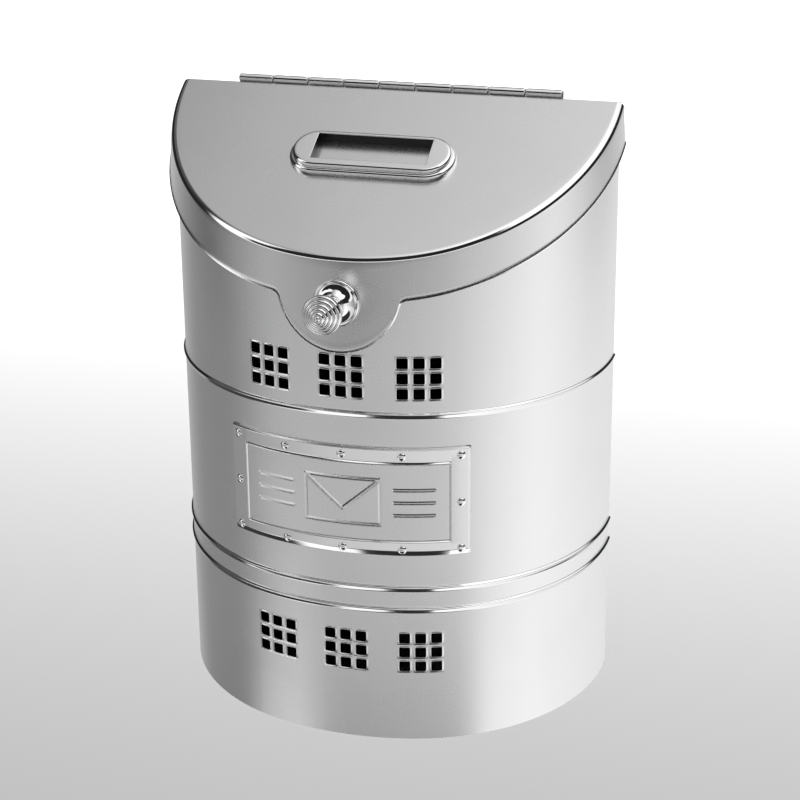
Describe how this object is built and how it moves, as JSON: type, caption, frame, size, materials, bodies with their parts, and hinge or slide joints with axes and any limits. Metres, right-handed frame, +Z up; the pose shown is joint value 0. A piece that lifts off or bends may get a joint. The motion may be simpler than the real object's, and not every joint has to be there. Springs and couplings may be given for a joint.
{
  "type": "wall mounted mailbox",
  "caption": "Half-round wall mailbox in satin nickel sheet, with a sloping hinged lid, turned pull knob, name frame, vent grids, rolled beads and a riveted plaque.",
  "frame": {"origin": "centre of the four wall screw holes, on the wall plane (the back plate's rear face)", "axes": "+Z up, +Y into the wall, +X to the right when facing the mailbox; the front faces -Y"},
  "size_m": [0.2786, 0.1732, 0.3758],
  "materials": {
    "satin_nickel": "satin nickel plate on steel sheet",
    "bright_nickel": "bright nickel plate",
    "hinge_steel": "nickel plated steel, lightly brushed",
    "zinc_fixings": "zinc plated"
  },
  "bodies": {
    "box": {"front_shell": "satin_nickel", "back_plate": "satin_nickel", "bottom_pan": "satin_nickel", "seam_rivets": "zinc_fixings", "pan_rivets": "zinc_fixings", "hinge_body_leaf": "hinge_steel", "hinge_rivets": "zinc_fixings", "hinge_pin": "hinge_steel", "plaque_panel": "satin_nickel", "plaque_frame": "satin_nickel", "plaque_rivets": "bright_nickel"},
    "lid": {"lid_shell": "satin_nickel", "hinge_lid_leaf": "hinge_steel", "name_frame": "bright_nickel", "name_frame_washers": "zinc_fixings", "name_frame_nuts": "zinc_fixings", "knob_rose": "bright_nickel", "knob": "bright_nickel", "knob_screw": "zinc_fixings", "knob_washer": "zinc_fixings"}
  },
  "joints": [
    {"name": "lid_hinge", "type": "hinge", "parent": "box", "child": "lid", "pos_m": [0, -0.00375, 0.1933], "axis": [-1, 0, 0], "range_deg": [0, 110]}
  ]
}
